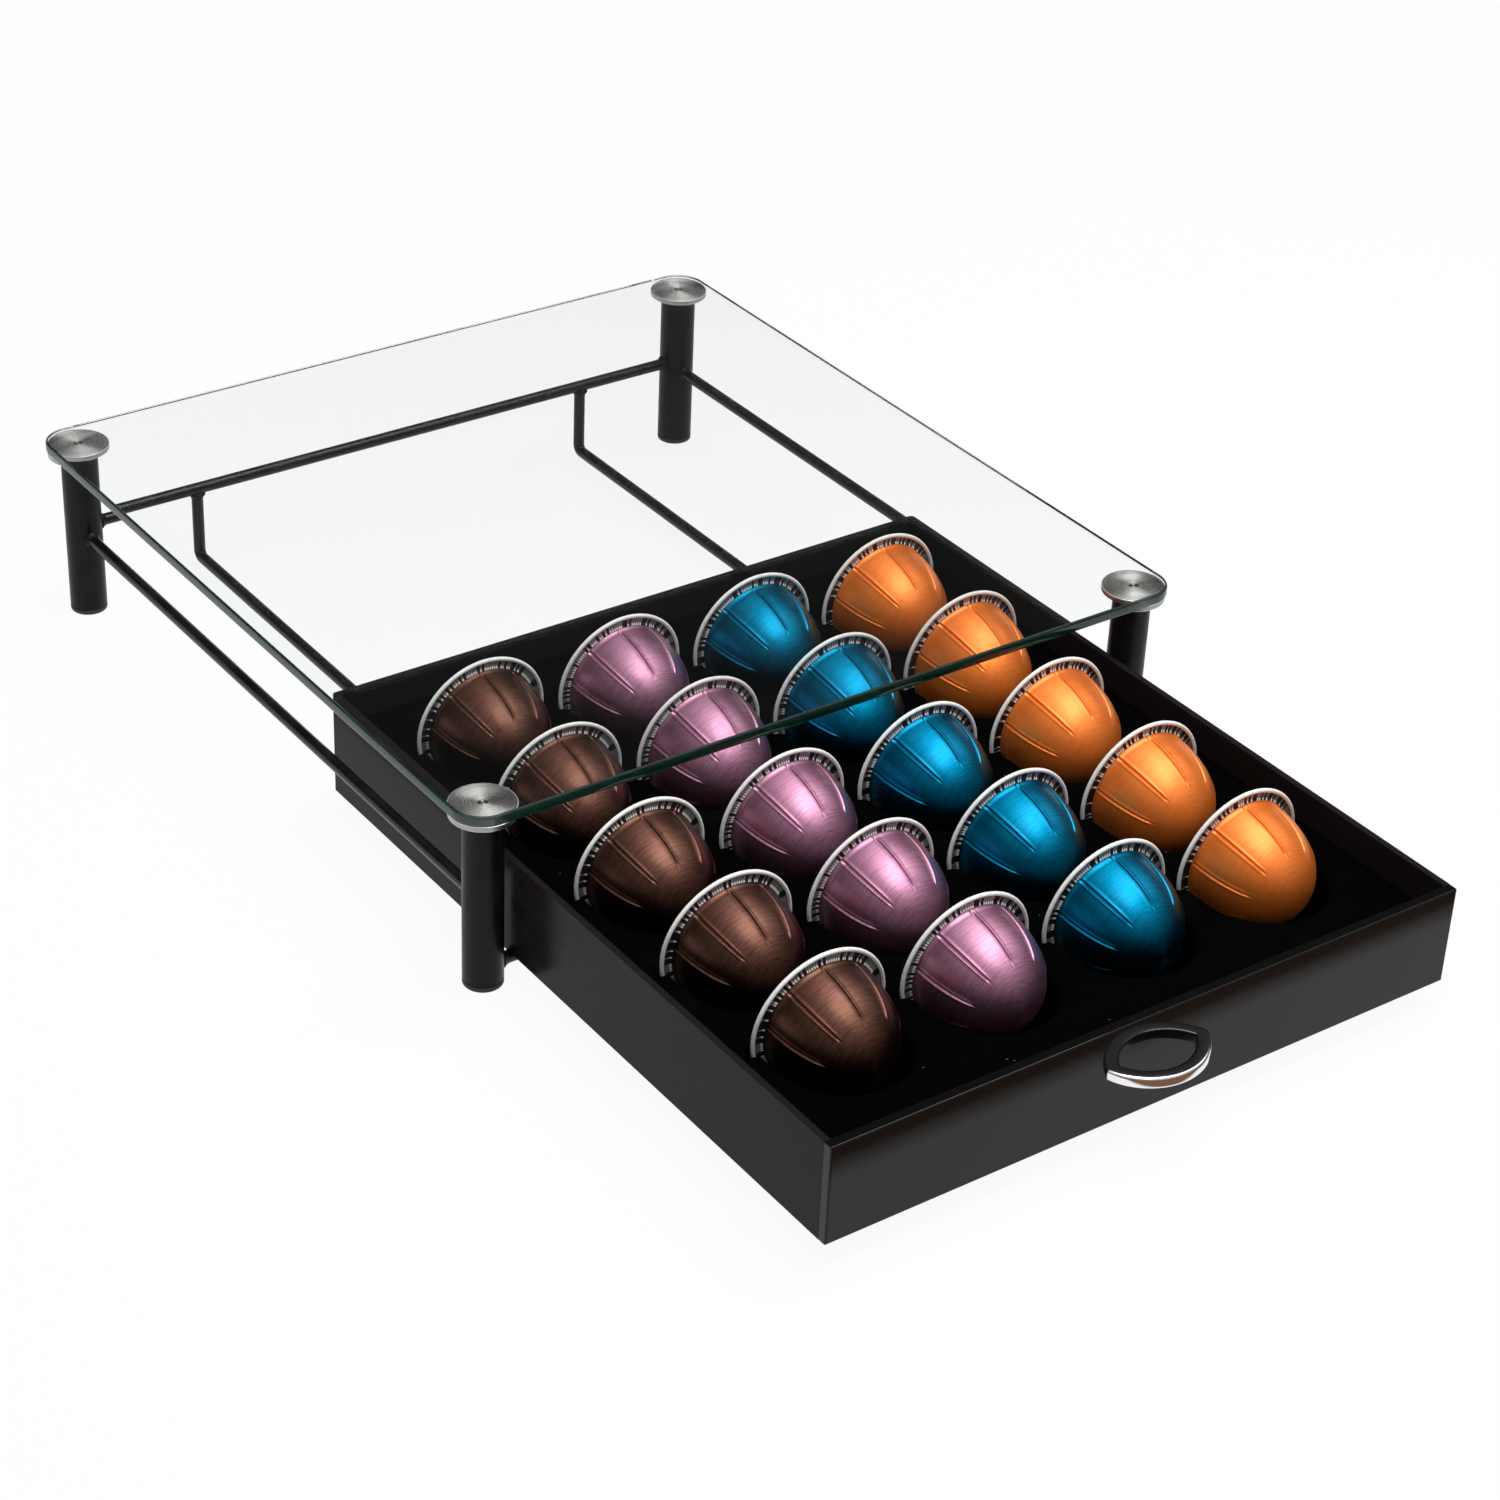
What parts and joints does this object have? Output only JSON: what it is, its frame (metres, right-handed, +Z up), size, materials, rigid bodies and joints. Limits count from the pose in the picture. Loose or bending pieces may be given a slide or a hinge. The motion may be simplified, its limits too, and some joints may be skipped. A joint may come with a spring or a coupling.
{
  "type": "coffee pod drawer",
  "caption": "Low glass-topped wire stand with a pull-out black drawer that holds coffee pods upright in rows of moulded pockets, opened by a small chrome bow handle",
  "frame": {"origin": "on the floor, at the middle of the footprint with the drawer standing open as pictured", "axes": "+Z up, -Y the way the drawer opens, +X to the right of someone facing the drawer"},
  "size_m": [0.36, 0.6018, 0.0879],
  "materials": {
    "glass": "polished",
    "spun_steel": "satin",
    "black_coated_metal": "satin",
    "black_foot": "matte",
    "black_wire": "gloss",
    "black_drawer": "gloss",
    "black_insert": "matte",
    "chrome_handle": "polished",
    "pod_brown": "satin",
    "pod_mauve": "satin",
    "pod_blue": "satin",
    "pod_orange": "satin"
  },
  "bodies": {
    "stand": {"glass_top": "glass", "disc_front_left": "spun_steel", "disc_front_right": "spun_steel", "disc_back_left": "spun_steel", "disc_back_right": "spun_steel", "leg_front_left": "black_coated_metal", "leg_front_right": "black_coated_metal", "leg_back_left": "black_coated_metal", "leg_back_right": "black_coated_metal", "foot_front_left": "black_foot", "foot_front_right": "black_foot", "foot_back_left": "black_foot", "foot_back_right": "black_foot", "back_rail": "black_wire", "left_rail": "black_wire", "right_rail": "black_wire", "front_crossbar": "black_wire", "runner_left": "black_wire", "runner_right": "black_wire"},
    "drawer": {"drawer_tray": "black_drawer", "front_panel": "black_drawer", "pod_insert": "black_insert", "handle_bow": "chrome_handle", "pods_brown": "pod_brown", "pods_mauve": "pod_mauve", "pods_blue": "pod_blue", "pods_orange": "pod_orange"}
  },
  "joints": [
    {"name": "drawer_slide", "type": "slide", "parent": "stand", "child": "drawer", "axis": [0, -1, 0], "range_m": [-0.2035, 0.04]}
  ]
}
